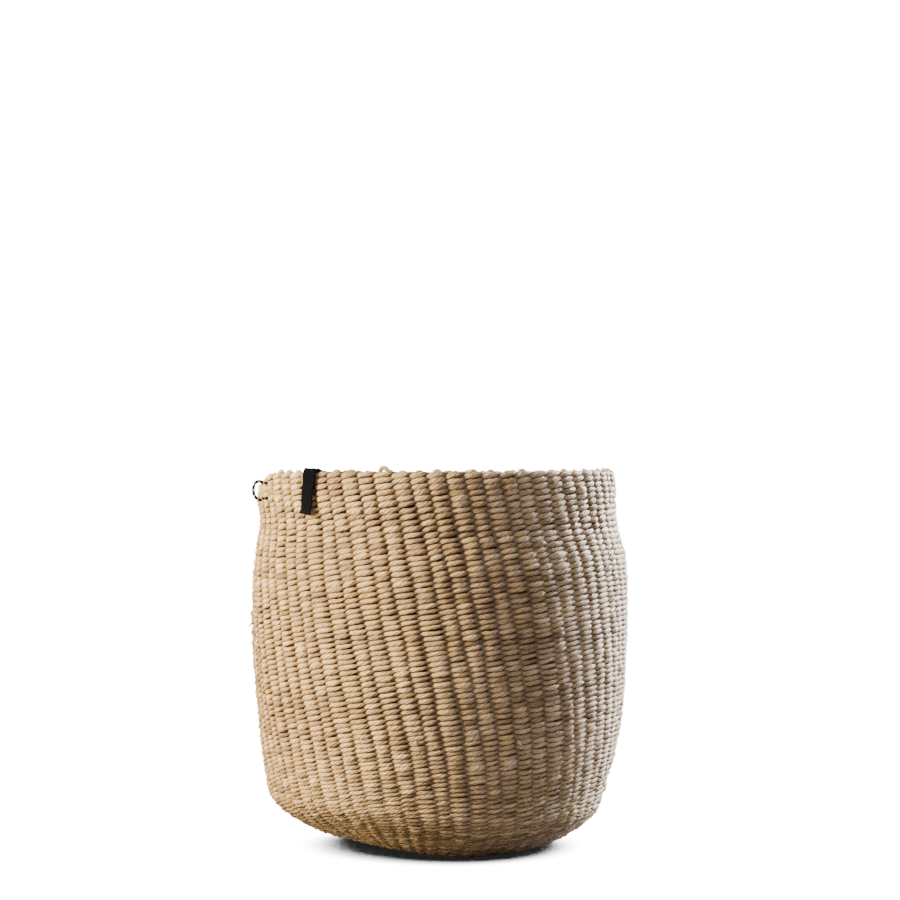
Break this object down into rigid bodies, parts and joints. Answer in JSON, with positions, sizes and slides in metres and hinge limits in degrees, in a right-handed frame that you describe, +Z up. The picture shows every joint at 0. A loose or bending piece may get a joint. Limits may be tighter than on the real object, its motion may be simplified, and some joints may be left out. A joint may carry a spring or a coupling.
{
  "type": "kiondo basket",
  "caption": "Round woven basket with a gently bellied wall, open top and soft flat base, for keeping things in. A folded tape and a small twine loop sit on its rim.",
  "frame": {"origin": "middle of the base, on the surface that the basket stands on", "axes": "+Z up through the open top, -Y to the front that the picture shows, +X to its right"},
  "size_m": [0.3, 0.3, 0.3032],
  "materials": {
    "weft_cord": "satin twisted paper cord",
    "stake_cord": "satin twisted paper cord",
    "woven_tape": "matte woven tape",
    "tape_thread": "sewing thread",
    "two_tone_twine": "two-ply black and white twine"
  },
  "bodies": {
    "basket": {"base_weft_outer": "weft_cord", "base_weft_inner": "weft_cord", "lower_heel_weft_outer": "weft_cord", "lower_heel_weft_inner": "weft_cord", "upper_heel_weft_outer": "weft_cord", "upper_heel_weft_inner": "weft_cord", "lower_wall_weft_outer": "weft_cord", "lower_wall_weft_inner": "weft_cord", "upper_wall_weft_outer": "weft_cord", "upper_wall_weft_inner": "weft_cord", "rim_weft_outer": "weft_cord", "rim_weft_inner": "weft_cord", "centre_stake_1": "stake_cord", "centre_stake_2": "stake_cord", "centre_stake_3": "stake_cord", "centre_stake_4": "stake_cord", "first_added_stake_1": "stake_cord", "first_added_stake_2": "stake_cord", "first_added_stake_3": "stake_cord", "first_added_stake_4": "stake_cord", "second_added_stake_1": "stake_cord", "second_added_stake_2": "stake_cord", "second_added_stake_3": "stake_cord", "second_added_stake_4": "stake_cord", "second_added_stake_5": "stake_cord", "second_added_stake_6": "stake_cord", "second_added_stake_7": "stake_cord", "second_added_stake_8": "stake_cord", "third_added_stake_1": "stake_cord", "third_added_stake_2": "stake_cord", "third_added_stake_3": "stake_cord", "third_added_stake_4": "stake_cord", "third_added_stake_5": "stake_cord", "third_added_stake_6": "stake_cord", "third_added_stake_7": "stake_cord", "third_added_stake_8": "stake_cord", "third_added_stake_9": "stake_cord", "third_added_stake_10": "stake_cord", "third_added_stake_11": "stake_cord", "third_added_stake_12": "stake_cord", "third_added_stake_13": "stake_cord", "third_added_stake_14": "stake_cord", "third_added_stake_15": "stake_cord", "third_added_stake_16": "stake_cord", "label": "woven_tape", "label_stitch_1": "tape_thread", "label_stitch_2": "tape_thread", "twine_upper_run": "two_tone_twine", "twine_lower_run": "two_tone_twine", "twine_knot": "two_tone_twine"},
    "twine": {"twine_loop": "two_tone_twine"}
  },
  "joints": [
    {"name": "twine_swing", "type": "hinge", "parent": "basket", "child": "twine", "pos_m": [-0.13659, -0.05218, 0.28233], "axis": [0, 0, 1], "range_deg": [-75, 45]}
  ]
}
